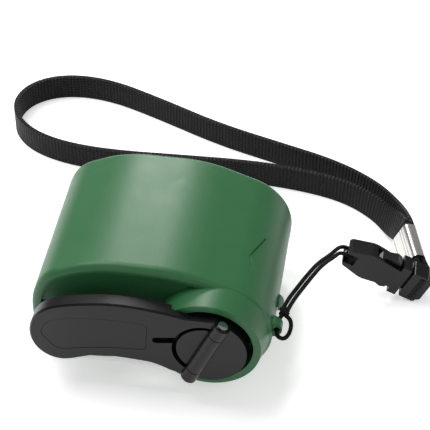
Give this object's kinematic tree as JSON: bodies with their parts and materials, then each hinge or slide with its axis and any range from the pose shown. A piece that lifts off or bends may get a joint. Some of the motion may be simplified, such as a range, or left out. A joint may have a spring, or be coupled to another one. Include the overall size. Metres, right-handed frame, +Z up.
{
  "type": "hand crank phone charger",
  "caption": "Pocket hand crank phone charger: green rounded case, folding black crank at the front, cord, clip buckle and wrist strap.",
  "frame": {"origin": "centre of the footprint of the case with its crank, on the surface it rests on, measured without the strap", "axes": "+X to the right end with the charging socket, +Y to the back, +Z up; the crank faces -Y"},
  "size_m": [0.1356, 0.1251, 0.0358],
  "materials": {
    "green_shell": "satin",
    "black_plastic": "satin",
    "steel": "satin",
    "bright_pin": "polished",
    "brass_bush": "satin",
    "white_gear": "satin",
    "zinc_can": "satin",
    "dark_magnet": "satin",
    "copper": "satin",
    "green_board": "satin",
    "bright_nickel": "polished",
    "red_wire": "satin",
    "black_cord": "matte",
    "buckle_plastic": "satin",
    "black_webbing": "matte"
  },
  "bodies": {
    "case": {"upper_shell": "green_shell", "lower_shell": "green_shell", "case_screws": "steel", "board_screws": "steel", "gearbox_screws": "steel", "shaft_bush": "brass_bush", "gear_axles": "steel", "gearbox_plate": "white_gear", "generator_can": "zinc_can", "generator_cap": "black_plastic", "stator_core": "zinc_can", "stator_coils": "copper", "circuit_board": "green_board", "usb_socket": "bright_nickel", "usb_tongue": "white_gear", "capacitor": "dark_magnet", "rectifier_diodes": "dark_magnet", "regulator_chip": "dark_magnet", "generator_wires": "red_wire", "lanyard_cord": "black_cord", "lug_loop": "black_cord", "cord_knot": "black_cord", "buckle_female": "buckle_plastic", "buckle_male": "buckle_plastic", "buckle_webbing": "black_webbing", "wrist_webbing": "black_webbing", "strap_crimp": "bright_nickel"},
    "crank": {"crank_hub": "black_plastic", "drive_shaft": "steel", "shaft_clip": "steel", "arm_hinge_pin": "bright_pin", "input_gear": "white_gear"},
    "arm": {"crank_arm": "black_plastic", "arm_panel": "black_plastic", "knob_pivot_pin": "bright_pin"},
    "bracket": {"knob_bracket": "black_plastic"},
    "knob": {"crank_knob": "black_plastic"},
    "gear_1": {"compound_gear_1": "white_gear"},
    "gear_2": {"compound_gear_2": "white_gear"},
    "rotor": {"rotor_pinion": "brass_bush", "rotor_shaft": "steel", "magnet_rotor": "dark_magnet"},
    "cover": {"port_cover": "green_shell"}
  },
  "joints": [
    {"name": "crank_spin", "type": "hinge", "parent": "case", "child": "crank", "pos_m": [0.01487, -0.01773, 0.0175], "axis": [0, 1, 0], "continuous": true},
    {"name": "arm_fold", "type": "hinge", "parent": "crank", "child": "arm", "pos_m": [0.01487, -0.02668, 0.0175], "axis": [0.4067, 0, 0.9135], "range_deg": [0, 180]},
    {"name": "knob_fold", "type": "hinge", "parent": "arm", "child": "bracket", "pos_m": [-0.02712, -0.02193, 0.0165], "axis": [0, 0, 1], "range_deg": [0, 90]},
    {"name": "knob_spin", "type": "hinge", "parent": "bracket", "child": "knob", "pos_m": [-0.02442, -0.02193, 0.0165], "axis": [1, 0, 0], "continuous": true},
    {"name": "gear_1_turn", "type": "hinge", "parent": "case", "child": "gear_1", "pos_m": [0.00091, -0.00422, 0.01848], "axis": [0, 1, 0], "continuous": true},
    {"name": "gear_2_turn", "type": "hinge", "parent": "case", "child": "gear_2", "pos_m": [-0.011, -0.00072, 0.02368], "axis": [0, 1, 0], "continuous": true},
    {"name": "rotor_turn", "type": "hinge", "parent": "case", "child": "rotor", "pos_m": [-0.02001, 0.00278, 0.01737], "axis": [0, 1, 0], "continuous": true},
    {"name": "cover_hinge", "type": "hinge", "parent": "case", "child": "cover", "pos_m": [0.02984, 0.00852, 0.0122], "axis": [0, 1, 0], "range_deg": [0, 75]}
  ],
  "couplings": [
    {"joint": "gear_1_turn", "follows": "crank_spin", "ratio": -3.6667},
    {"joint": "gear_2_turn", "follows": "crank_spin", "ratio": 12.222},
    {"joint": "rotor_turn", "follows": "crank_spin", "ratio": -32.593}
  ]
}
